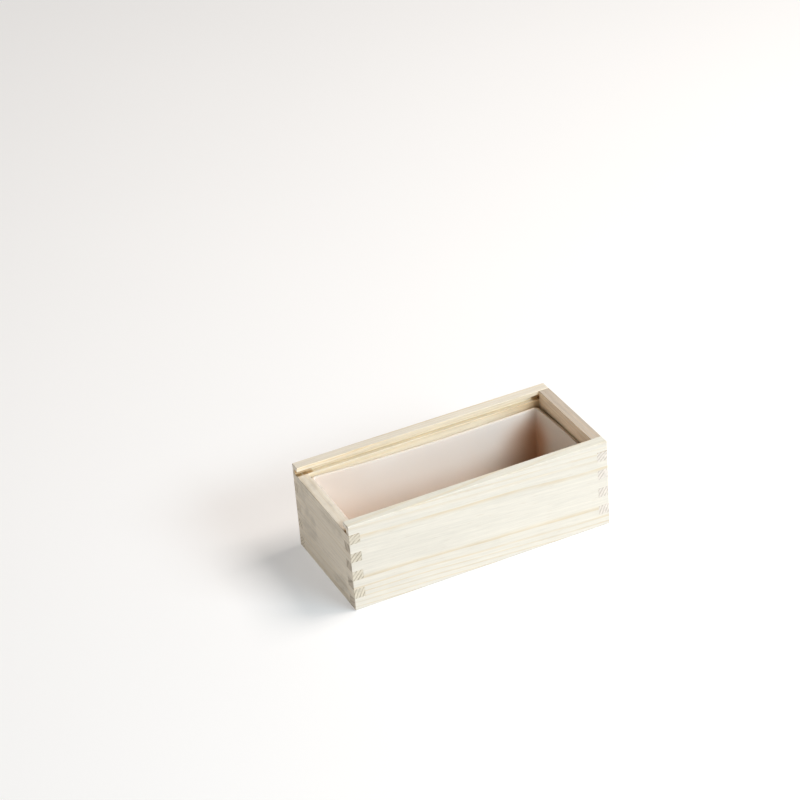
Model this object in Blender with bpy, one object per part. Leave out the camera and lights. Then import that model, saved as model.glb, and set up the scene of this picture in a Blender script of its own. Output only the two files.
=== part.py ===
"""Soap loaf mould: a finger-jointed pine box with a lid groove, and a silicone liner that lifts out.

Units are metres. X runs along the box, Y across it and Z up, and the origin is in the middle of the
underside. The end at -X is cut down to the floor of the groove, so a lid can slide in over it.
"""

from math import cos, pi, radians, sin, tan

import bmesh
import bpy
from mathutils import Vector

# The box, outside, and the pine boards that it is made of.
BOX_LENGTH = 0.220
BOX_WIDTH = 0.102
BOX_HEIGHT = 0.076
BOARD = 0.009

# Clearance between pieces that meet.
FIT = 0.0003

# The lid groove, along the inner face of both long sides, and the lip above it.
LIP_HEIGHT = 0.0036
GROOVE_HEIGHT = 0.0044
GROOVE_DEPTH = 0.0045
LEDGE_Z = BOX_HEIGHT - LIP_HEIGHT - GROOVE_HEIGHT

# The fingers that the end boards put through the long sides, from the ledge downwards.
FINGER_HEIGHT = 0.0082
FINGERS = 4

# The bottom panel, let into a rebate that is routed from below, with the router's corner radius.
PANEL_THICKNESS = 0.005
REBATE_WIDTH = 0.0045
REBATE_RADIUS = 0.006

# The silicone liner, outside, at its rim.
LINER_LENGTH = 0.2000
LINER_WIDTH = 0.0812
LINER_RIM_Z = 0.0640
LINER_WALL = 0.0022
LINER_FLOOR = 0.0025
LINER_CORNER_RADIUS = 0.008
LINER_FOOT_RADIUS = 0.0045
LINER_DRAFT = radians(0.8)
LINER_SHIFT_X = -0.0004

# How finely the round stretches are divided.
CORNER_STEPS = 8
FOOT_STEPS = 4
RIM_STEPS = 3
CUTTER_OVERSHOOT = 0.004

PINE = (0.84, 0.70, 0.50)
PINE_SHADED = (0.80, 0.66, 0.47)
PANEL_PINE = (0.82, 0.69, 0.50)
SILICONE = (0.86, 0.80, 0.75)
PINE_ROUGHNESS = 0.62
SILICONE_ROUGHNESS = 0.42


def clear_scene():
    for obj in list(bpy.data.objects):
        bpy.data.objects.remove(obj, do_unlink=True)


def material(name, colour, roughness):
    made = bpy.data.materials.new(name)
    made.use_nodes = True
    shader = made.node_tree.nodes["Principled BSDF"]
    shader.inputs["Base Color"].default_value = (*colour, 1.0)
    shader.inputs["Roughness"].default_value = roughness
    shader.inputs["Metallic"].default_value = 0.0
    return made


def new_object(name, shape, parent, location=(0.0, 0.0, 0.0), turn_z=0.0):
    """A named mesh object made from a bmesh, which is freed."""
    mesh = bpy.data.meshes.new(name)
    bmesh.ops.recalc_face_normals(shape, faces=shape.faces)
    shape.to_mesh(mesh)
    shape.free()
    obj = bpy.data.objects.new(name, mesh)
    bpy.context.scene.collection.objects.link(obj)
    obj.parent = parent
    obj.location = location
    obj.rotation_euler = (0.0, 0.0, turn_z)
    return obj


def finish(obj, colour, roughness):
    obj.data.materials.append(material(obj.name, colour, roughness))
    return obj


def extruded(outline, direction):
    """The prism that an outline, a list of points on one plane, sweeps along a direction."""
    shape = bmesh.new()
    face = shape.faces.new([shape.verts.new(point) for point in outline])
    swept = bmesh.ops.extrude_face_region(shape, geom=[face])
    moved = [item for item in swept["geom"] if isinstance(item, bmesh.types.BMVert)]
    bmesh.ops.translate(shape, verts=moved, vec=direction)
    return shape


def rounded_rectangle(length, width, radius, z):
    """The points of a rectangle round the Z axis with round corners, anticlockwise from +X +Y."""
    points = []
    for corner, (side_x, side_y) in enumerate(((1, 1), (-1, 1), (-1, -1), (1, -1))):
        centre = Vector((side_x * (length / 2 - radius), side_y * (width / 2 - radius), z))
        for step in range(CORNER_STEPS + 1):
            angle = (corner + step / CORNER_STEPS) * pi / 2
            points.append(centre + radius * Vector((cos(angle), sin(angle), 0.0)))
    return points


def finger_spans():
    """The bottom and top height of each finger of an end board, from the ledge downwards."""
    tops = [LEDGE_Z - 2 * index * FINGER_HEIGHT for index in range(FINGERS)]
    return [(top - FINGER_HEIGHT, top) for top in tops]


def long_side_outline():
    """Half of a long side's outer face, up its +X end, mirrored into the whole outline."""
    end = BOX_LENGTH / 2
    notch = end - BOARD - FIT
    half = [(end, 0.0)]
    for bottom, top in reversed(finger_spans()):
        half += [(end, bottom - FIT), (notch, bottom - FIT), (notch, top + FIT), (end, top + FIT)]
    half.append((end, BOX_HEIGHT))
    return half + [(-x, z) for x, z in reversed(half)]


def end_board_outline(height):
    """Half of an end board's outer face, up its +Y edge, mirrored into the whole outline."""
    tip = BOX_WIDTH / 2
    shoulder = tip - BOARD - FIT
    half = [(shoulder, 0.0)]
    for bottom, top in reversed(finger_spans()):
        half += [(shoulder, bottom), (tip, bottom), (tip, top), (shoulder, top)]
    if height > LEDGE_Z:
        half.append((shoulder, height))
    else:
        half.pop()  # the low end stops level with its top fingers, with no shoulder above them
    return half + [(-y, z) for y, z in reversed(half)]


def lid_slot_cutter(parent):
    """The space that a lid slides in, longer than the box, down to the bottom of both grooves."""
    length = BOX_LENGTH + 2 * CUTTER_OVERSHOOT
    width = BOX_WIDTH - 2 * BOARD + 2 * GROOVE_DEPTH
    shape = bmesh.new()
    bmesh.ops.create_cube(shape, size=1.0)
    bmesh.ops.scale(shape, verts=shape.verts, vec=(length, width, GROOVE_HEIGHT))
    cutter = new_object("lid_slot_cutter", shape, parent, (0.0, 0.0, LEDGE_Z + GROOVE_HEIGHT / 2))
    return hidden(cutter)


def rebate_cutter(parent):
    """The recess for the bottom panel, reaching below the box."""
    length = BOX_LENGTH - 2 * BOARD + 2 * REBATE_WIDTH
    width = BOX_WIDTH - 2 * BOARD + 2 * REBATE_WIDTH
    outline = rounded_rectangle(length, width, REBATE_RADIUS, -CUTTER_OVERSHOOT)
    height = CUTTER_OVERSHOOT + PANEL_THICKNESS + FIT
    shape = extruded(outline, (0.0, 0.0, height))
    return hidden(new_object("rebate_cutter", shape, parent))


def hidden(cutter):
    cutter.hide_render = True
    cutter.display_type = "WIRE"
    return cutter


def cut(obj, cutter):
    modifier = obj.modifiers.new(cutter.name, "BOOLEAN")
    modifier.operation = "DIFFERENCE"
    modifier.solver = "EXACT"
    modifier.object = cutter


def long_side(name, parent, side, lid_slot, rebate):
    """A long side. Its own Y axis points into the box, with the outer face at Y = 0."""
    outline = [(x, 0.0, z) for x, z in long_side_outline()]
    shape = extruded(outline, (0.0, BOARD, 0.0))
    location = (0.0, side * BOX_WIDTH / 2, 0.0)
    board = new_object(name, shape, parent, location, pi if side > 0 else 0.0)
    cut(board, lid_slot)
    cut(board, rebate)
    return finish(board, PINE, PINE_ROUGHNESS)


def end_board(name, parent, side, height, rebate):
    """An end board. Its own X axis points into the box, with the outer face at X = 0."""
    outline = [(0.0, y, z) for y, z in end_board_outline(height)]
    shape = extruded(outline, (BOARD, 0.0, 0.0))
    location = (side * BOX_LENGTH / 2, 0.0, 0.0)
    board = new_object(name, shape, parent, location, pi if side > 0 else 0.0)
    cut(board, rebate)
    return finish(board, PINE_SHADED, PINE_ROUGHNESS)


def bottom_panel(parent):
    """The panel that fills the rebate, flush with the underside of the boards."""
    length = BOX_LENGTH - 2 * BOARD + 2 * REBATE_WIDTH - 2 * FIT
    width = BOX_WIDTH - 2 * BOARD + 2 * REBATE_WIDTH - 2 * FIT
    outline = rounded_rectangle(length, width, REBATE_RADIUS - FIT, 0.0)
    panel = new_object("bottom_panel", extruded(outline, (0.0, 0.0, PANEL_THICKNESS)), parent)
    return finish(panel, PANEL_PINE, PINE_ROUGHNESS)


def shell_rings():
    """The liner's section as (inset from the rim's outside, height), from outer foot to inner floor."""
    height = LINER_RIM_Z - PANEL_THICKNESS - FIT
    slope = tan(LINER_DRAFT)
    rings = []
    for step in range(FOOT_STEPS + 1):
        angle = step / FOOT_STEPS * pi / 2
        z = LINER_FOOT_RADIUS * (1 - cos(angle))
        rings.append(((height - z) * slope + LINER_FOOT_RADIUS * (1 - sin(angle)), z))
    for step in range(RIM_STEPS + 1):
        angle = step / RIM_STEPS * pi
        bulge = LINER_WALL / 2
        rings.append((bulge * (1 - cos(angle)), height - bulge * (1 - sin(angle))))
    foot = LINER_FOOT_RADIUS - LINER_WALL / 2
    for step in range(FOOT_STEPS + 1):
        angle = step / FOOT_STEPS * pi / 2
        z = LINER_FLOOR + foot * (1 - sin(angle))
        rings.append((LINER_WALL + (height - z) * slope + foot * (1 - cos(angle)), z))
    return rings


def silicone_liner(parent):
    """The liner: an open tub with round corners, a round foot and a little draft in its walls."""
    shape = bmesh.new()
    rings = []
    for inset, z in shell_rings():
        radius = max(LINER_CORNER_RADIUS - inset, LINER_WALL)
        outline = rounded_rectangle(LINER_LENGTH - 2 * inset, LINER_WIDTH - 2 * inset, radius, z)
        rings.append([shape.verts.new(point) for point in outline])
    for lower, upper in zip(rings, rings[1:]):
        for index, vertex in enumerate(lower):
            after = (index + 1) % len(lower)
            shape.faces.new((vertex, lower[after], upper[after], upper[index]))
    shape.faces.new(rings[0])
    shape.faces.new(rings[-1])
    location = (LINER_SHIFT_X, 0.0, PANEL_THICKNESS + FIT)
    liner = new_object("silicone_liner", shape, parent, location)
    liner.data.shade_smooth()
    liner.data.set_sharp_from_angle(angle=radians(40))
    return finish(liner, SILICONE, SILICONE_ROUGHNESS)


def build():
    clear_scene()
    mould = bpy.data.objects.new("soap_loaf_mould", None)
    bpy.context.scene.collection.objects.link(mould)
    lid_slot = lid_slot_cutter(mould)
    rebate = rebate_cutter(mould)
    long_side("front_side", mould, -1, lid_slot, rebate)
    long_side("back_side", mould, 1, lid_slot, rebate)
    end_board("left_end", mould, -1, LEDGE_Z, rebate)
    end_board("right_end", mould, 1, BOX_HEIGHT, rebate)
    bottom_panel(mould)
    silicone_liner(mould)


build()
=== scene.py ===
"""Looks of the soap loaf mould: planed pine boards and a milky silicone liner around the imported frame.

Metres, in the frame's own axes: X along the box from the low end, Y across it from the front side to
the back side, Z up.
"""

import random
from dataclasses import dataclass
from math import copysign, cos, pi, radians, sin, tan

import bmesh
import bpy
from mathutils import Euler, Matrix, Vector, noise


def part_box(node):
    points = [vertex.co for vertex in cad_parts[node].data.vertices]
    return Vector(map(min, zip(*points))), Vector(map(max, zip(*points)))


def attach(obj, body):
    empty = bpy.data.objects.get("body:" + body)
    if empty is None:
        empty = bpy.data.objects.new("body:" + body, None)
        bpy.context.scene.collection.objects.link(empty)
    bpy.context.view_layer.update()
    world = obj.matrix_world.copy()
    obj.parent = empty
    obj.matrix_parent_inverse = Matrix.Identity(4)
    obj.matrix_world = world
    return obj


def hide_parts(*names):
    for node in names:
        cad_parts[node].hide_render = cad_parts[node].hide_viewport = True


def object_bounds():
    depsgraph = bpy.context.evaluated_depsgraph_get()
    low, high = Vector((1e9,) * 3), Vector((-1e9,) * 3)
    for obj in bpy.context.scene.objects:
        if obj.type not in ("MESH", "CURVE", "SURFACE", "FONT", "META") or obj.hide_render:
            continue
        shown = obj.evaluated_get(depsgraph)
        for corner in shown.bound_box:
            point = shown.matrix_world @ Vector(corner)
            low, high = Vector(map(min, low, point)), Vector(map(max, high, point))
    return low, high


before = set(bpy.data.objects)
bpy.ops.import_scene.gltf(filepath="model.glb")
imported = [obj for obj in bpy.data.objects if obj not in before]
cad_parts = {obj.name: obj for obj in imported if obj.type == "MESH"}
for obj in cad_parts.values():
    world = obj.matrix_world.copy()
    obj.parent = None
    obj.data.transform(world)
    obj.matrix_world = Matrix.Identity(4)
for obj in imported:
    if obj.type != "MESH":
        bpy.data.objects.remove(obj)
CAD_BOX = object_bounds()

# The box and its boards, as the frame has them.
BOX_LOW, BOX_HIGH = CAD_BOX
SIDE_LOW, SIDE_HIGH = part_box("front_side")
BOARD = SIDE_HIGH.y - SIDE_LOW.y
LEDGE_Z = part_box("left_end")[1].z
PANEL_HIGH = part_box("bottom_panel")[1]
LINER_LOW, LINER_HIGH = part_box("silicone_liner")

# The finger joints: FINGER_PLAY is how far a cut may be off, and TOP_GAP opens at the right end's top.
FINGER_HEIGHT = 0.0082
FINGERS = 4
FINGER_PLAY = 0.00012
GLUE_LINE = 0.00007
TOP_GAP = 0.0006

# The lid groove, and the rebate for the bottom panel.
LIP_HEIGHT = 0.0036
GROOVE_DEPTH = 0.0045
GROOVE_ROUND = 0.0006
PANEL_GAP = 0.0002
REBATE_RADIUS = 0.006
CUTTER_OVERSHOOT = 0.004

# How far the arrises are sanded off, and how near a point on a face is to it at most.
ARRIS = 0.0006
INNER_ARRIS = 0.00035
TOUCH = 1e-5

# The liner's section: RIM_SQUARENESS under 1 gives the rim a flatter top with small round edges.
LINER_WALL = 0.0021
LINER_FLOOR = 0.0025
LINER_CORNER = 0.0044
LINER_FOOT = 0.0050
LINER_DRAFT = tan(radians(0.8))
RIM_SQUARENESS = 0.55

# How far the rim reaches past the liner's place in the frame at the two ends.
LEFT_FIT = 0.0003
RIGHT_FIT = 0.0010

# The right end wall bows out, most a little in front of its middle, and the long walls bow in.
END_BOW = 0.0024
END_ZONE = 0.15
BOW_MIDDLE = -0.3
BOW_IN_FRONT = 0.25
BOW_ROUNDNESS = 1.4
BOW_RISE = 1.3
SIDE_BOW = -0.0006
SIDE_ZONE = 0.3

# The rim is lowest at RIM_LOW_X and rises towards both ends, and the free wall ripples a little.
RIM_LOW_X = 0.030
RIM_DIP = 0.0012
RIM_CURVE = 0.179
RIPPLE = 0.0003
RIPPLES_LEVEL = 22
RIPPLES_UP = 30

# How finely the liner is divided.
LONG_STEPS = 36
SHORT_STEPS = 14
CORNER_STEPS = 10
FOOT_STEPS = 6
WALL_STEPS = 15
RIM_STEPS = 8


# Meshes

def mesh_object(name, shape):
    """A named object made from a bmesh, which is freed."""
    bmesh.ops.recalc_face_normals(shape, faces=shape.faces)
    mesh = bpy.data.meshes.new(name)
    shape.to_mesh(mesh)
    shape.free()
    obj = bpy.data.objects.new(name, mesh)
    bpy.context.scene.collection.objects.link(obj)
    return obj


def prism(name, outline, direction):
    """The solid that an outline, a list of points on one plane, sweeps along a direction."""
    shape = bmesh.new()
    face = shape.faces.new([shape.verts.new(point) for point in outline])
    swept = bmesh.ops.extrude_face_region(shape, geom=[face])
    moved = [item for item in swept["geom"] if isinstance(item, bmesh.types.BMVert)]
    bmesh.ops.translate(shape, verts=moved, vec=direction)
    return mesh_object(name, shape)


def arc(centre, radius, start, end, steps):
    """Points on a circle in a plane, as pairs, from one angle to another."""
    angles = [start + (end - start) * step / steps for step in range(steps + 1)]
    return [(centre[0] + radius * cos(angle), centre[1] + radius * sin(angle)) for angle in angles]


def rounded_rectangle(half_length, half_width, radius, z, steps=8):
    """The points of a rectangle round the Z axis with round corners."""
    points = []
    for corner, (side_x, side_y) in enumerate(((1, 1), (-1, 1), (-1, -1), (1, -1))):
        centre = (side_x * (half_length - radius), side_y * (half_width - radius))
        turn = corner * pi / 2
        points += [(x, y, z) for x, y in arc(centre, radius, turn, turn + pi / 2, steps)]
    return points


def settle(obj):
    """Turns the object's modifiers into its mesh."""
    graph = bpy.context.evaluated_depsgraph_get()
    mesh = bpy.data.meshes.new_from_object(obj.evaluated_get(graph))
    obj.modifiers.clear()
    obj.data = mesh


def combine(obj, other, operation):
    """Cuts the object with another, or keeps what they share, and leaves the other in place."""
    modifier = obj.modifiers.new(operation, "BOOLEAN")
    modifier.operation = operation
    modifier.solver = "EXACT"
    modifier.object = other
    settle(obj)


def merge_flat(obj):
    """Joins faces that lie in one plane, and edges that lie in one line."""
    shape = bmesh.new()
    shape.from_mesh(obj.data)
    bmesh.ops.remove_doubles(shape, verts=shape.verts, dist=1e-6)
    bmesh.ops.dissolve_limit(shape, angle_limit=radians(0.2), verts=shape.verts, edges=shape.edges)
    shape.to_mesh(obj.data)
    shape.free()


def ease(obj, width, chosen):
    """Rounds off the convex edges for which chosen(first end, second end) holds."""
    shape = bmesh.new()
    shape.from_mesh(obj.data)
    weight = shape.edges.layers.float.new("bevel_weight_edge")
    for edge in shape.edges:
        if edge.is_convex and chosen(edge.verts[0].co, edge.verts[1].co):
            edge[weight] = 1.0
    shape.to_mesh(obj.data)
    shape.free()
    modifier = obj.modifiers.new("ease", "BEVEL")
    modifier.limit_method = "WEIGHT"
    modifier.width = width
    modifier.segments = 3
    settle(obj)


def smooth_round_parts(obj):
    """Shades the eased arrises round and keeps the flat faces flat."""
    obj.data.shade_smooth()
    obj.data.set_sharp_from_angle(angle=radians(42))
    modifier = obj.modifiers.new("weighted_normals", "WEIGHTED_NORMAL")
    modifier.keep_sharp = True
    settle(obj)


# The boards

def finger_spans(end, side):
    """Bottom and top of each finger at one corner of the box, each cut a little off its height."""
    play = random.Random(7 + 2 * end + side)
    spans = []
    for index in range(FINGERS):
        top = LEDGE_Z - 2 * index * FINGER_HEIGHT
        bottom = top - FINGER_HEIGHT + play.uniform(-FINGER_PLAY, FINGER_PLAY)
        if index > 0:
            top += play.uniform(-FINGER_PLAY, FINGER_PLAY)
        spans.append((bottom, top))
    return list(reversed(spans))


def long_side_outline(side):
    """A long side's face, with the notches that the fingers of both ends pass through."""
    points = []
    for end in (1, -1):
        tip = end * BOX_HIGH.x
        notch = end * (BOX_HIGH.x - BOARD - GLUE_LINE)
        edge = [(tip, 0.0)]
        for bottom, top in finger_spans(end, side):
            low, high = bottom - GLUE_LINE, top + GLUE_LINE
            edge += [(tip, low), (notch, low), (notch, high), (tip, high)]
        edge.append((tip, BOX_HIGH.z))
        points += edge if end > 0 else reversed(edge)
    return points


def end_board_outline(end, height):
    """An end board's face, with its fingers."""
    points = []
    for side in (1, -1):
        tip = side * BOX_HIGH.y
        shoulder = side * (BOX_HIGH.y - BOARD - GLUE_LINE)
        edge = [(shoulder, 0.0)]
        for bottom, top in finger_spans(end, side):
            edge += [(shoulder, bottom), (tip, bottom), (tip, top), (shoulder, top)]
        edge.pop()
        if height > LEDGE_Z:
            short = shoulder - (TOP_GAP if side > 0 else 0.0)
            edge += [(short, LEDGE_Z), (short, height)]
        points += edge if side > 0 else reversed(edge)
    return points


def groove_cutter(side):
    """The lid groove of one long side, longer than the box, with round inner corners."""
    mouth = side * (BOX_HIGH.y - BOARD - CUTTER_OVERSHOOT)
    depth = side * (BOX_HIGH.y - BOARD + GROOVE_DEPTH - GROOVE_ROUND)
    low, high = LEDGE_Z + GROOVE_ROUND, BOX_HIGH.z - LIP_HEIGHT - GROOVE_ROUND
    upper = arc((0.0, high), GROOVE_ROUND, pi / 2, 0.0, 4)
    lower = arc((0.0, low), GROOVE_ROUND, 0.0, -pi / 2, 4)
    outline = [(mouth, LEDGE_Z), (mouth, BOX_HIGH.z - LIP_HEIGHT)]
    outline += [(depth + side * across, z) for across, z in upper + lower]
    start = BOX_LOW.x - CUTTER_OVERSHOOT
    points = [(start, y, z) for y, z in outline]
    return prism("groove_cutter", points, (2 * (BOX_HIGH.x + CUTTER_OVERSHOOT), 0.0, 0.0))


def rebate_cutter():
    """The recess for the bottom panel, reaching below the box."""
    outline = rounded_rectangle(
        PANEL_HIGH.x + PANEL_GAP, PANEL_HIGH.y + PANEL_GAP, REBATE_RADIUS, -CUTTER_OVERSHOOT
    )
    return prism("rebate_cutter", outline, (0.0, 0.0, CUTTER_OVERSHOOT + PANEL_HIGH.z + PANEL_GAP))


def sanded_hull():
    """The outside of the whole box, with its arrises sanded off after the boards were joined."""
    shape = bmesh.new()
    bmesh.ops.create_cube(shape, size=1.0)
    bmesh.ops.scale(shape, verts=shape.verts, vec=BOX_HIGH - BOX_LOW)
    bmesh.ops.translate(shape, verts=shape.verts, vec=(BOX_LOW + BOX_HIGH) / 2)
    bmesh.ops.bevel(shape, geom=shape.edges, offset=ARRIS, segments=4, profile=0.5, affect="EDGES")
    return mesh_object("sanded_hull", shape)


def finished_board(board, cutters, hull, to_ease):
    """Cuts a board, eases the chosen inner arrises and sands its outside off with the whole box."""
    for cutter in cutters:
        combine(board, cutter, "DIFFERENCE")
    merge_flat(board)
    ease(board, INNER_ARRIS, to_ease)
    combine(board, hull, "INTERSECT")
    smooth_round_parts(board)
    return board


def long_side(name, side, cutters, hull):
    inner = side * (BOX_HIGH.y - BOARD)

    def along_inner_face(first, second):
        flat = abs(first.y - inner) < TOUCH and abs(second.y - inner) < TOUCH
        return flat and abs(first.x - second.x) > BOARD and min(first.z, second.z) > LEDGE_Z - TOUCH

    outline = [(x, side * BOX_HIGH.y, z) for x, z in long_side_outline(side)]
    board = prism(name, outline, (0.0, -side * BOARD, 0.0))
    return finished_board(board, cutters, hull, along_inner_face)


def end_board(name, end, height, cutters, hull):
    def along_top(first, second):
        return min(first.z, second.z) > height - TOUCH and abs(first.y - second.y) > BOARD

    outline = [(end * BOX_HIGH.x, y, z) for y, z in end_board_outline(end, height)]
    board = prism(name, outline, (-end * BOARD, 0.0, 0.0))
    return finished_board(board, cutters, hull, along_top)


def floor_panel():
    outline = rounded_rectangle(PANEL_HIGH.x, PANEL_HIGH.y, REBATE_RADIUS - PANEL_GAP, 0.0)
    panel = prism("floor_panel", outline, (0.0, 0.0, PANEL_HIGH.z))
    ease(panel, INNER_ARRIS, lambda first, second: abs(first.z - second.z) < TOUCH)
    smooth_round_parts(panel)
    return panel


# The liner

def liner_profile(height):
    """The liner's section as (inset from the rim's outside, height), from outer foot to inner floor."""
    rings = []
    for step in range(FOOT_STEPS + 1):
        angle = step / FOOT_STEPS * pi / 2
        z = LINER_FOOT * (1 - cos(angle))
        rings.append(((height - z) * LINER_DRAFT + LINER_FOOT * (1 - sin(angle)), z))
    top = height - LINER_WALL / 2
    for step in range(1, WALL_STEPS):
        z = LINER_FOOT + (top - LINER_FOOT) * step / WALL_STEPS
        rings.append(((height - z) * LINER_DRAFT, z))
    for step in range(RIM_STEPS + 1):
        angle = step / RIM_STEPS * pi
        out = copysign(abs(cos(angle)) ** RIM_SQUARENESS, cos(angle))
        rise = max(sin(angle), 0.0) ** RIM_SQUARENESS
        rings.append((LINER_WALL / 2 * (1 - out), top + LINER_WALL / 2 * rise))
    foot = LINER_FOOT - LINER_WALL / 2
    low = LINER_FLOOR + foot
    for step in range(1, WALL_STEPS):
        z = top + (low - top) * step / WALL_STEPS
        rings.append((LINER_WALL + (height - z) * LINER_DRAFT, z))
    for step in range(FOOT_STEPS + 1):
        angle = step / FOOT_STEPS * pi / 2
        z = LINER_FLOOR + foot * (1 - sin(angle))
        rings.append((LINER_WALL + (height - z) * LINER_DRAFT + foot * (1 - cos(angle)), z))
    return rings


def liner_outline(half_length, half_width, radius):
    """A rounded rectangle whose straight stretches are divided too, so that they can bow."""
    corners = rounded_rectangle(half_length, half_width, radius, 0.0, CORNER_STEPS)
    corners = [Vector(point) for point in corners]
    points = []
    for index, point in enumerate(corners):
        after = corners[(index + 1) % len(corners)]
        corner, step = divmod(index, CORNER_STEPS + 1)
        pieces = 1
        if step == CORNER_STEPS:
            pieces = SHORT_STEPS if corner % 2 else LONG_STEPS
        points += [point.lerp(after, piece / pieces) for piece in range(pieces)]
    return points


def end_bow(across):
    """How far the end wall bows out, from 0 to 1: across runs from -1 in front to 1 at the back."""
    aside = across - BOW_MIDDLE
    reach = aside / (1 - BOW_MIDDLE) if aside > 0 else BOW_IN_FRONT * aside / (-1 - BOW_MIDDLE)
    return cos(min(reach, 1.0) * pi / 2) ** BOW_ROUNDNESS


def near_end(share, zone):
    """0 up to where the last zone of a half length starts, then up to 1 at its end."""
    return max((share - (1 - zone)) / zone, 0.0)


def flexed(point, height, half_length, half_width):
    """A point of the soft wall, moved as the free rim bows, sags and ripples."""
    up = max(point.z / height, 0.0)
    along = min(abs(point.x) / half_length, 1.0)
    across = min(abs(point.y) / half_width, 1.0)
    side = 1 if point.y > 0 else -1
    end_share = near_end(along, END_ZONE) if point.x > 0 else 0.0
    side_share = near_end(across, SIDE_ZONE)
    x = point.x + END_BOW * up**BOW_RISE * end_share * end_bow(side * across)
    y = point.y + side * SIDE_BOW * up * side_share * cos(along * pi / 2)
    rim = RIM_CURVE * (point.x - RIM_LOW_X) ** 2 - RIM_DIP
    z = point.z + rim * up**2
    pattern = Vector((x * RIPPLES_LEVEL, y * RIPPLES_LEVEL, z * RIPPLES_UP))
    ripple = noise.noise(pattern) * RIPPLE * up
    return Vector((x + ripple * across, y + ripple, z))


def silicone_liner():
    height = LINER_HIGH.z - LINER_LOW.z
    low_x = LINER_LOW.x - LEFT_FIT
    high_x = LINER_HIGH.x + RIGHT_FIT - END_BOW
    half_length = (high_x - low_x) / 2
    half_width = (LINER_HIGH.y - LINER_LOW.y) / 2
    offset = Vector(((low_x + high_x) / 2, 0.0, LINER_LOW.z))
    shape = bmesh.new()
    rings = []
    for inset, z in liner_profile(height):
        radius = max(LINER_CORNER - inset, LINER_WALL)
        outline = liner_outline(half_length - inset, half_width - inset, radius)
        flat = [Vector((p.x, p.y, z)) for p in outline]
        points = [flexed(point, height, half_length, half_width) for point in flat]
        rings.append([shape.verts.new(point + offset) for point in points])
    for lower, upper in zip(rings, rings[1:]):
        for index, vertex in enumerate(lower):
            after = (index + 1) % len(lower)
            shape.faces.new((vertex, lower[after], upper[after], upper[index]))
    shape.faces.new(rings[0])
    shape.faces.new(rings[-1])
    liner = mesh_object("soft_liner", shape)
    liner.data.shade_smooth()
    return liner


# Material tools

def rgb(red, green, blue):
    return (red, green, blue, 1.0)


def new_material(name):
    made = bpy.data.materials.new(name)
    made.use_nodes = True
    made.node_tree.nodes.clear()
    return made, made.node_tree


def add(tree, kind, inputs=None, **settings):
    """A shader node with its settings, each input linked to a socket or given a value."""
    made = tree.nodes.new("ShaderNode" + kind)
    for name, value in settings.items():
        setattr(made, name, value)
    for key, value in (inputs or {}).items():
        if isinstance(value, bpy.types.NodeSocket):
            tree.links.new(value, made.inputs[key])
        else:
            made.inputs[key].default_value = value
    return made


def finish_material(tree, inputs):
    shader = add(tree, "BsdfPrincipled", inputs)
    add(tree, "OutputMaterial", {"Surface": shader.outputs[0]})


def coordinates(tree, kind):
    return add(tree, "TexCoord").outputs[kind]


def components(tree, vector):
    return add(tree, "SeparateXYZ", {0: vector}).outputs


def stretched(tree, vector, factors):
    return add(tree, "VectorMath", {0: vector, 1: factors}, operation="MULTIPLY").outputs[0]


def dot(tree, first, second):
    return add(tree, "VectorMath", {0: first, 1: second}, operation="DOT_PRODUCT").outputs["Value"]


def calc(tree, operation, *values):
    return add(tree, "Math", dict(enumerate(values)), operation=operation).outputs[0]


def size_of(tree, value):
    return calc(tree, "ABSOLUTE", value)


def product(tree, first, *others):
    for other in others:
        first = calc(tree, "MULTIPLY", first, other)
    return first


def scaled(tree, value, factor, base):
    """The value times a factor, plus a base."""
    return calc(tree, "MULTIPLY_ADD", value, factor, base)


def varied(tree, base, pattern, strength):
    """The base, raised and lowered by a noise whose middle is a half."""
    return scaled(tree, calc(tree, "SUBTRACT", pattern, 0.5), strength, base)


def ramp(tree, value, low, high, kind="SMOOTHSTEP"):
    """0 up to low, 1 from high, and a smooth rise between."""
    inputs = {"Value": value, "From Min": low, "From Max": high}
    return add(tree, "MapRange", inputs, interpolation_type=kind).outputs[0]


def fade(tree, value, low, high):
    """1 up to low, 0 from high, and a smooth fall between."""
    return calc(tree, "SUBTRACT", 1.0, ramp(tree, value, low, high))


def band(tree, value, low, high, soft):
    """1 between low and high, fading to 0 over a soft distance inside each."""
    rise = ramp(tree, value, low, low + soft)
    fall = ramp(tree, value, high - soft, high)
    return calc(tree, "SUBTRACT", rise, fall)


def blend(tree, share, first, second, kind="MIX"):
    """The first colour where share is 0, and where it is 1 the second, or what kind makes of both."""
    inputs = {0: share, 6: first, 7: second}
    return add(tree, "Mix", inputs, data_type="RGBA", blend_type=kind).outputs[2]


def toned(tree, share, colour, factor):
    """The colour, multiplied by another one as far as share says."""
    return blend(tree, share, colour, factor, "MULTIPLY")


def cloudy(tree, place, scale, detail=2.0, roughness=0.5, offset=(0.0, 0.0, 0.0)):
    """A noise of about as many spots per metre along each axis as scale says."""
    moved = add(tree, "VectorMath", {0: place, 1: scale, 2: offset}, operation="MULTIPLY_ADD")
    inputs = {"Vector": moved.outputs[0], "Scale": 1.0, "Detail": detail, "Roughness": roughness}
    return add(tree, "TexNoise", inputs).outputs[0]


# Pine

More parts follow.
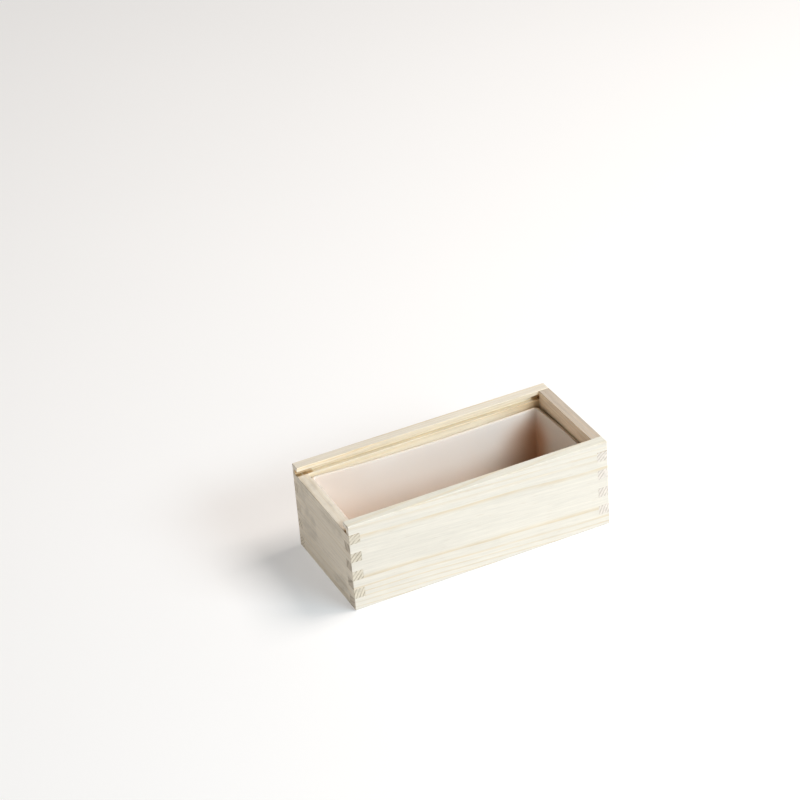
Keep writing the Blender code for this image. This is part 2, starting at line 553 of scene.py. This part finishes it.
@dataclass
class Cut:
    """How a board lay in its log, and how it looks.

    The pith's line goes through the point pith, along the grain, and leans by lean. The rings round
    it are fast_ring wide up to the radius slow_from, and slow_ring wide beyond it. seed picks their
    years and shifts the patterns. The long grain shows no rings within plain_within of the pith.

    late says how strong the latewood's colour is on the long grain, and stroke how strong its lines
    are on the end grain. figure says how strong streaks and fibres are, and smudge how dark the
    smudges are. end_grain is the end grain's colour. tint multiplies the long grain's colour; on the
    right end board it is painted shade. inner multiplies that of the face that looks into the box, as
    painted light, and top that of what faces up, as painted light on the front side and painted shade
    on the right end.
    """

    grain: str
    pith: tuple
    lean: float
    fast_ring: float
    slow_ring: float
    slow_from: float
    seed: float
    late: float
    plain_within: float = 0.0
    stroke: float = 0.48
    figure: float = 1.0
    smudge: float = 0.02
    end_grain: tuple = (0.73, 0.67, 0.57)
    tint: tuple = (1.0, 1.0, 1.0)
    inner: tuple = (1.0, 1.0, 1.0)
    top: tuple = (1.0, 1.0, 1.0)


CUTS = {
    "front_side": Cut(
        grain="X",
        pith=(0.0, -0.029, 0.0412),
        lean=radians(3.4),
        fast_ring=0.0057,
        slow_ring=0.0037,
        slow_from=0.0354,
        seed=45.0,
        late=0.72,
        plain_within=0.0245,
        figure=1.15,
        end_grain=(0.60, 0.54, 0.46),
        tint=(0.90, 0.895, 0.905),
        # Painted light on the front side's upward faces.
        top=(1.07, 1.12, 1.13),
    ),
    "back_side": Cut(
        grain="X",
        pith=(0.0, 0.085, 0.050),
        lean=radians(-0.8),
        fast_ring=0.0034,
        slow_ring=0.0022,
        slow_from=0.0440,
        seed=11.0,
        late=0.75,
        figure=1.7,
        tint=(0.98, 0.98, 0.98),
        # Painted light on the back side's inner face.
        inner=(1.19, 1.13, 1.03),
    ),
    "left_end": Cut(
        grain="Y",
        pith=(-0.058, 0.0, -0.008),
        lean=radians(1.0),
        fast_ring=0.0027,
        slow_ring=0.0024,
        slow_from=0.130,
        seed=23.0,
        late=0.42,
        stroke=0.60,
        figure=1.6,
        smudge=0.17,
        end_grain=(0.66, 0.60, 0.50),
        tint=(0.97, 0.955, 0.94),
    ),
    "right_end": Cut(
        grain="Y",
        pith=(0.170, 0.0, -0.010),
        lean=radians(-1.5),
        fast_ring=0.0025,
        slow_ring=0.0021,
        slow_from=0.130,
        seed=37.0,
        late=0.95,
        stroke=0.40,
        figure=2.2,
        end_grain=(0.73, 0.67, 0.61),
        # Painted shade on the whole board, painted light on its inner face and more painted shade on its
        # top.
        tint=(0.80, 0.765, 0.74),
        inner=(1.58, 1.54, 1.51),
        top=(0.88, 0.86, 0.86),
    ),
    "bottom_panel": Cut(
        grain="X",
        pith=(0.0, 0.020, -0.060),
        lean=radians(0.6),
        fast_ring=0.0042,
        slow_ring=0.0030,
        slow_from=0.0700,
        seed=51.0,
        late=0.50,
        tint=(0.98, 0.97, 0.93),
    ),
}

EARLYWOOD = rgb(0.79, 0.745, 0.655)
LATEWOOD = rgb(0.73, 0.60, 0.40)
END_LINE = rgb(0.27, 0.21, 0.14)
# Painted light on the ends of the lips above the groove.
LIP_END_LIGHT = rgb(0.88, 0.83, 0.74)
CANAL = rgb(0.50, 0.34, 0.19)

# What the wood's colour is multiplied by in the groove, as painted light, and where it is darker and
# browner: near the groove's ends, on the fingers under the lips, and as painted shade on the inner faces
# by the right end.
GROOVE_PAINTED_LIGHT = rgb(1.27, 1.19, 1.06)
DARK_BROWN = rgb(0.66, 0.50, 0.31)

# Spots per metre of each pattern, along the grain first and then across it.
CLOUDS = (6.0, 30.0, 30.0)
SWAYS = (9.0, 28.0, 28.0)
STREAKS = (12.0, 420.0, 420.0)
WANES = (22.0, 120.0, 120.0)
SMUDGES = (38.0, 65.0, 65.0)
CANALS = (45.0, 900.0, 900.0)
FIBRES = (70.0, 2600.0, 2600.0)

# How strongly each pattern changes the colour, and how far the rings sway.
STREAK_CONTRAST = 0.20
FIBRE_CONTRAST = 0.22
CLOUD_CONTRAST = 0.09
CANAL_STRENGTH = 0.30
RING_SWAY = 0.0035

# In which part of a year latewood starts and peaks, and how much later it starts in a steady ring.
LATE_START = 0.50
LATE_PEAK = 0.90
STEADY_DELAY = 0.14
STEADY_VIGOUR = 0.8

# Distances from the box's end where the groove starts to get darker and browner, and where it is so
# fully.
DARKER_TIP_START = 0.0150
DARKER_TIP_FULL = 0.0125

# Distances from the right end where the painted shade on the long sides' inner faces starts, and where
# it is darkest, and how dark it gets.
INNER_SHADE_START = 0.065
INNER_SHADE_FULL = 0.010
INNER_SHADE_STRENGTH = 0.6

# How far the darker patch reaches in on the top of an end board's fingers.
PATCH_FULL = 0.008


def growth_rings(tree, local, cut, offset):
    """The latewood on the long grain, and the lines that the same rings draw on the end grain."""
    _, sideways, upwards = components(tree, local)
    squares = [calc(tree, "POWER", part, 2.0) for part in (sideways, upwards)]
    radius = calc(tree, "SQRT", calc(tree, "ADD", *squares))
    radius = varied(tree, radius, cloudy(tree, local, SWAYS, offset=offset), RING_SWAY)

    beyond = calc(tree, "SUBTRACT", radius, cut.slow_from)
    fast = calc(tree, "DIVIDE", calc(tree, "MINIMUM", beyond, 0.0), cut.fast_ring)
    slow = calc(tree, "DIVIDE", calc(tree, "MAXIMUM", beyond, 0.0), cut.slow_ring)
    age = calc(tree, "ADD", calc(tree, "ADD", fast, slow), cut.seed)
    year = calc(tree, "FLOOR", age)
    season = calc(tree, "FRACT", age)
    vigour = add(tree, "TexWhiteNoise", {"W": year}, noise_dimensions="1D").outputs["Value"]

    # Below the pith, the rings from the last fast one on are all strong, and their latewood narrow.
    outer = ramp(tree, beyond, -cut.fast_ring, -cut.fast_ring / 2)
    steady = product(tree, outer, fade(tree, upwards, -0.010, 0.0))
    vigour = calc(tree, "MAXIMUM", vigour, product(tree, steady, STEADY_VIGOUR))
    start = scaled(tree, steady, STEADY_DELAY, LATE_START)

    ring = product(tree, ramp(tree, season, start, LATE_PEAK), fade(tree, season, LATE_PEAK, 1.0))
    wane = cloudy(tree, local, WANES, 3.0, 0.6, offset)
    latewood = product(tree, ring, scaled(tree, vigour, 0.8, 0.2), ramp(tree, wane, 0.14, 0.58))
    if cut.plain_within > 0:
        plain = ramp(tree, radius, cut.plain_within, cut.plain_within + 0.002)
        latewood = product(tree, latewood, plain)
    line = calc(tree, "MINIMUM", product(tree, ring, 1.5), 1.0)
    return latewood, product(tree, line, ramp(tree, wane, 0.28, 0.52))


def resin_canals(tree, local):
    """1 in the short dark dashes that resin canals make along the grain."""
    cells = {"Vector": stretched(tree, local, CANALS), "Scale": 1.0}
    distance = add(tree, "TexVoronoi", cells).outputs["Distance"]
    return fade(tree, distance, 0.05, 0.16)


def wood_shade(tree, local, cut, offset, streak, fibre):
    """A grey for the wood's colour to be multiplied by: streaks, fibres, clouds and smudges."""
    cloud = cloudy(tree, local, CLOUDS, offset=offset)
    shade = varied(tree, 1.0, streak, STREAK_CONTRAST * cut.figure)
    shade = varied(tree, shade, fibre, FIBRE_CONTRAST * cut.figure)
    shade = varied(tree, shade, cloud, CLOUD_CONTRAST)
    blot = ramp(tree, cloudy(tree, local, SMUDGES, 3.0, 0.6, offset), 0.48, 0.70)
    shade = scaled(tree, blot, -cut.smudge, shade)
    return add(tree, "CombineColor", {0: shade, 1: shade, 2: shade}).outputs[0]


def long_grain(tree, local, cut, latewood, grey):
    colour = blend(tree, product(tree, latewood, cut.late), EARLYWOOD, LATEWOOD)
    colour = toned(tree, 1.0, colour, grey)
    colour = blend(tree, product(tree, resin_canals(tree, local), CANAL_STRENGTH), colour, CANAL)
    return toned(tree, 1.0, colour, rgb(*cut.tint))


def end_grain(tree, spot, cut, lines, grey):
    """End grain with its dark ring lines, and painted light on the ends of the lips above the groove."""
    # Painted light: the ends of the lips above the ledge are paler.
    lip_end_light = ramp(tree, spot[2], LEDGE_Z + 0.001, LEDGE_Z + 0.004)
    colour = blend(tree, lip_end_light, rgb(*cut.end_grain), LIP_END_LIGHT)
    colour = blend(tree, product(tree, lines, cut.stroke), colour, END_LINE)
    return toned(tree, 1.0, colour, grey)


def inner_face(tree, cut, spot, facing):
    """1 on the face that looks into the box."""
    axis, outside = (1, BOX_HIGH.y) if cut.grain == "X" else (0, BOX_HIGH.x)
    face = outside - BOARD
    near = fade(tree, size_of(tree, spot[axis]), face + 0.0004, face + 0.0018)
    return product(tree, near, ramp(tree, size_of(tree, facing[axis]), 0.3, 0.8))


def side_marks(tree, colour, spot, streak):
    """A long side's groove, lightened as painted light and darker and browner near the box's ends, and
    painted shade on its inner face towards the right end.
    """
    inner = BOX_HIGH.y - BOARD
    depth = size_of(tree, spot[1])
    deep = band(tree, depth, inner + 0.0003, inner + GROOVE_DEPTH + 0.0012, 0.0008)
    level = band(tree, spot[2], LEDGE_Z - 0.0003, BOX_HIGH.z - LIP_HEIGHT + 0.0003, 0.0002)
    patchy = scaled(tree, ramp(tree, streak, 0.25, 0.75), 0.5, 0.5)
    groove = product(tree, deep, level, patchy)
    # Painted light: the groove is lighter than the rest of the face.
    colour = toned(tree, groove, colour, GROOVE_PAINTED_LIGHT)
    tip = ramp(tree, size_of(tree, spot[0]), BOX_HIGH.x - DARKER_TIP_START, BOX_HIGH.x - DARKER_TIP_FULL)
    colour = toned(tree, product(tree, groove, tip), colour, DARK_BROWN)

    # Painted shade on the inner face below the groove, darkest by the right end.
    rightwards = ramp(tree, spot[0], BOX_HIGH.x - INNER_SHADE_START, BOX_HIGH.x - INNER_SHADE_FULL)
    under_groove = fade(tree, spot[2], LEDGE_Z, LEDGE_Z + 0.002)
    on_face = band(tree, depth, inner - 0.0006, inner + 0.0012, 0.0005)
    inner_face_shade = product(tree, rightwards, under_groove, on_face, INNER_SHADE_STRENGTH)
    return toned(tree, inner_face_shade, colour, DARK_BROWN)


def finger_marks(tree, colour, spot, streak):
    """Darker, browner patches on the highest fingers of an end board, under the lips where the groove
    runs over them.
    """
    under_lip = ramp(tree, size_of(tree, spot[1]), BOX_HIGH.y - BOARD, BOX_HIGH.y - PATCH_FULL)
    on_top = band(tree, spot[2], LEDGE_Z - 0.0004, LEDGE_Z + 0.0008, 0.0003)
    patch = product(tree, under_lip, on_top, ramp(tree, streak, 0.2, 0.5))
    return toned(tree, patch, colour, DARK_BROWN)


def pine(name, cut):
    """Solid pine: rings round the pith's line, fibres and resin canals along it, alike on every face,
    with painted light and shade on tops, inner faces, the groove and the lips' ends.
    """
    made, tree = new_material(name)
    place = coordinates(tree, "Object")
    spot = components(tree, place)
    normal = coordinates(tree, "Normal")
    facing = components(tree, normal)
    turn = Euler((0.0, cut.lean, pi / 2 if cut.grain == "Y" else 0.0))
    mapping = {"Vector": place, "Location": cut.pith, "Rotation": turn}
    local = add(tree, "Mapping", mapping, vector_type="TEXTURE").outputs[0]
    offset = (cut.seed, 1.7 * cut.seed, 0.6 * cut.seed)

    latewood, lines = growth_rings(tree, local, cut, offset)
    fibre = cloudy(tree, local, FIBRES, 3.0, 0.6, offset)
    streak = cloudy(tree, local, STREAKS, 3.0, 0.55, offset)
    grey = wood_shade(tree, local, cut, offset, streak, fibre)
    grain = (1.0, 0.0, 0.0) if cut.grain == "X" else (0.0, 1.0, 0.0)
    end = ramp(tree, size_of(tree, dot(tree, normal, grain)), 0.55, 0.9)

    planed = long_grain(tree, local, cut, latewood, grey)
    sawn = end_grain(tree, spot, cut, lines, grey)
    colour = blend(tree, end, planed, sawn)
    # Painted light and shade on what faces up, by each board's top factor.
    colour = toned(tree, ramp(tree, facing[2], 0.5, 0.9), colour, rgb(*cut.top))
    # Painted light on the face that looks into the box, by each board's inner factor.
    colour = toned(tree, inner_face(tree, cut, spot, facing), colour, rgb(*cut.inner))
    marks = side_marks if name.endswith("side") else finger_marks
    colour = marks(tree, colour, spot, streak)

    rough = scaled(tree, end, 0.12, scaled(tree, latewood, -0.10, 0.62))
    relief = scaled(tree, latewood, 0.5, product(tree, fibre, 0.6))
    bump = add(tree, "Bump", {"Height": relief, "Strength": 0.6, "Distance": 0.00004})
    finish_material(
        tree,
        {
            "Base Color": colour,
            "Roughness": rough,
            "Normal": bump.outputs[0],
            "Specular IOR Level": 0.35,
        },
    )
    return made


# Silicone

MILKY_RIM = rgb(0.88, 0.83, 0.79)
# Painted shade low in the wall, and in the back right corner.
MILKY_DEEP = rgb(0.79, 0.68, 0.59)
MILKY_CORNER_SHADE = rgb(0.69, 0.45, 0.31)
MILKY_FLOOR = rgb(0.80, 0.735, 0.68)
MILKY_OUTSIDE = rgb(0.74, 0.68, 0.62)
# Painted shade on the rim's top, and painted bounce light by the right end board.
RIM_TOP_SHADE = rgb(0.66, 0.60, 0.54)
RIM_BOUNCE_LIGHT = rgb(0.93, 0.79, 0.67)

# Spots per metre of the cloudiness and of the moulded surface's grain.
MILK_CLOUDS = (18.0, 18.0, 26.0)
MOULDED_GRAIN = (900.0, 900.0, 900.0)


def milky_wall(tree, place, spot):
    """The wall's colour, with painted shade: darker low down and towards the left end, and darker and
    browner low in the back right corner.
    """
    # Painted shade: darker low down and near the left end.
    height = varied(tree, spot[2], cloudy(tree, place, MILK_CLOUDS), 0.012)
    pale = ramp(tree, height, LINER_LOW.z, LINER_HIGH.z, "LINEAR")
    inward = ramp(tree, spot[0], LINER_LOW.x, LINER_LOW.x + 0.070)
    pale = product(tree, pale, scaled(tree, inward, 0.45, 0.55))
    colour = blend(tree, pale, MILKY_DEEP, MILKY_RIM)

    # Painted shade, darker and browner, low in the back right corner.
    rightwards = ramp(tree, spot[0], LINER_HIGH.x - 0.045, LINER_HIGH.x)
    backwards = ramp(tree, spot[1], 0.010, 0.036)
    liner_corner_shade = product(tree, rightwards, fade(tree, height, 0.036, 0.064), backwards)
    return blend(tree, liner_corner_shade, colour, MILKY_CORNER_SHADE)


def silicone():
    """Milky silicone: light passes a little way into it; the rim's top has painted shade, and painted
    bounce light by the right end board.
    """
    made, tree = new_material("milky_silicone")
    place = coordinates(tree, "Object")
    spot = components(tree, place)
    normal = coordinates(tree, "Normal")
    upward = components(tree, normal)[2]
    colour = milky_wall(tree, place, spot)

    outward = dot(tree, normal, stretched(tree, place, (1.0, 1.0, 0.0)))
    outside = product(tree, fade(tree, spot[2], 0.044, 0.062), ramp(tree, outward, 0.0, 0.03))
    colour = blend(tree, outside, colour, MILKY_OUTSIDE)
    low = fade(tree, spot[2], LINER_LOW.z + 0.003, LINER_LOW.z + 0.009)
    bottom = product(tree, low, ramp(tree, upward, 0.3, 0.9))
    colour = blend(tree, bottom, colour, MILKY_FLOOR)
    # Painted shade on the rim's top, and painted bounce light on it by the right end board.
    rim = product(tree, ramp(tree, upward, 0.1, 0.8), ramp(tree, spot[2], 0.050, 0.060))
    by_the_board = ramp(tree, spot[0], LINER_HIGH.x - 0.010, LINER_HIGH.x - 0.003)
    colour = blend(tree, rim, colour, blend(tree, by_the_board, RIM_TOP_SHADE, RIM_BOUNCE_LIGHT))

    fine = cloudy(tree, place, MOULDED_GRAIN)
    rough = scaled(tree, fine, 0.12, scaled(tree, rim, 0.25, 0.38))
    bump = add(tree, "Bump", {"Height": fine, "Strength": 0.25, "Distance": 0.00003})
    finish_material(
        tree,
        {
            "Base Color": colour,
            "Roughness": rough,
            "Normal": bump.outputs[0],
            "IOR": 1.41,
            "Subsurface Weight": 0.5,
            "Subsurface Radius": (1.0, 0.9, 0.85),
            "Subsurface Scale": 0.0022,
        },
    )
    return made


# The studio

CAMERA_AIM = Vector((-0.01576, 0.04995, 0.10223))
CAMERA_DISTANCE = 1.9725
CAMERA_AZIMUTH = radians(-23.44)
CAMERA_ELEVATION = radians(31.63)
CAMERA_ROLL = radians(-4.75)
CAMERA_LENS = 114.5

FLOOR_HALF_SIZE = 6.0
FLOOR_DROP = 0.0003
FLOOR_GLOW = 0.32
FLOOR_MOTTLE = (3.0, 3.0, 3.0)

ROOM_STRENGTH = 0.94
ROOM_LEFT_DIM = 0.55
ROOM_COLOUR = rgb(1.0, 0.931, 0.847)


def away(azimuth, elevation):
    """The direction from the object towards a place round it: azimuth 0 is in front, towards -Y."""
    return Vector((sin(azimuth) * cos(elevation), -cos(azimuth) * cos(elevation), sin(elevation)))


def camera():
    data = bpy.data.cameras.new("camera")
    data.lens = CAMERA_LENS
    data.clip_start = 0.05
    data.clip_end = 50.0
    made = bpy.data.objects.new("camera", data)
    back = away(CAMERA_AZIMUTH, CAMERA_ELEVATION)
    made.location = CAMERA_AIM + back * CAMERA_DISTANCE
    turn = (-back).to_track_quat("-Z", "Y").to_matrix()
    roll = Euler((0.0, 0.0, CAMERA_ROLL)).to_matrix()
    made.rotation_euler = (turn @ roll).to_euler()
    bpy.context.scene.collection.objects.link(made)
    bpy.context.scene.camera = made


def softbox(name, azimuth, elevation, distance, size, power, colour):
    """A rectangular soft light that shines at the middle of the box; size is its width and height."""
    data = bpy.data.lights.new(name, "AREA")
    data.shape = "RECTANGLE"
    data.size, data.size_y = size
    data.energy = power
    data.color = colour
    made = bpy.data.objects.new(name, data)
    direction = away(radians(azimuth), radians(elevation))
    centre = (BOX_LOW + BOX_HIGH) / 2
    made.location = centre + direction * distance
    made.rotation_euler = direction.to_track_quat("Z", "Y").to_euler()
    bpy.context.scene.collection.objects.link(made)


def studio_world():
    """A room light that is strongest round the horizon, none overhead, and dimmer low on the left."""
    world = bpy.data.worlds.new("studio_world")
    world.use_nodes = True
    tree = world.node_tree
    direction = components(tree, coordinates(tree, "Generated"))
    level = fade(tree, size_of(tree, direction[2]), 0.15, 0.62)
    leftward = ramp(tree, product(tree, direction[0], -1.0), 0.2, 0.9)
    low = fade(tree, direction[2], 0.08, 0.32)
    dimmed = scaled(tree, product(tree, leftward, low), -ROOM_LEFT_DIM, 1.0)
    background = tree.nodes["Background"]
    background.inputs["Color"].default_value = ROOM_COLOUR
    tree.links.new(product(tree, level, ROOM_STRENGTH, dimmed), background.inputs["Strength"])
    return world


def pale_floor():
    """A pale floor with a faint glow, which keeps the ground light where the room light is dim."""
    made, tree = new_material("pale_floor")
    mottle = cloudy(tree, coordinates(tree, "Object"), FLOOR_MOTTLE)
    finish_material(
        tree,
        {
            "Base Color": blend(tree, mottle, rgb(0.60, 0.60, 0.60), rgb(0.62, 0.62, 0.62)),
            "Roughness": 0.9,
            "Specular IOR Level": 0.1,
            "Emission Color": rgb(1.0, 1.0, 1.0),
            "Emission Strength": FLOOR_GLOW,
        },
    )
    return made


def studio():
    shape = bmesh.new()
    bmesh.ops.create_grid(shape, x_segments=24, y_segments=24, size=FLOOR_HALF_SIZE)
    floor = mesh_object("floor", shape)
    floor.location = (0.0, 0.0, -FLOOR_DROP)
    floor.data.materials.append(pale_floor())
    softbox("key", 31.0, 31.0, 2.2, (1.3, 0.55), 28.0, (0.76, 0.905, 1.0))
    softbox("right_fill", 78.0, 56.0, 2.4, (1.1, 1.1), 40.0, (1.0, 0.907, 0.836))
    bpy.context.scene.world = studio_world()
    bpy.context.scene.view_settings.view_transform = "Standard"
    bpy.context.scene.view_settings.look = "Medium High Contrast"


# The mould

def place_boards():
    """The five pieces of the box, each in place of its node in the frame."""
    hull = sanded_hull()
    rebate = rebate_cutter()
    grooves = {side: groove_cutter(side) for side in (-1, 1)}
    pieces = {
        "front_side": long_side("front_board", -1, (grooves[-1], rebate), hull),
        "back_side": long_side("back_board", 1, (grooves[1], rebate), hull),
        "left_end": end_board("left_board", -1, LEDGE_Z, (rebate,), hull),
        "right_end": end_board("right_board", 1, BOX_HIGH.z, (rebate,), hull),
        "bottom_panel": floor_panel(),
    }
    for tool in (hull, rebate, *grooves.values()):
        bpy.data.objects.remove(tool)
    for node, piece in pieces.items():
        piece.data.materials.clear()
        piece.data.materials.append(pine(f"pine_{node}", CUTS[node]))
        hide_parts(node)
        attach(piece, "box")


def place_liner():
    liner = silicone_liner()
    liner.data.materials.append(silicone())
    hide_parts("silicone_liner")
    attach(liner, "liner")


place_boards()
place_liner()
studio()
camera()
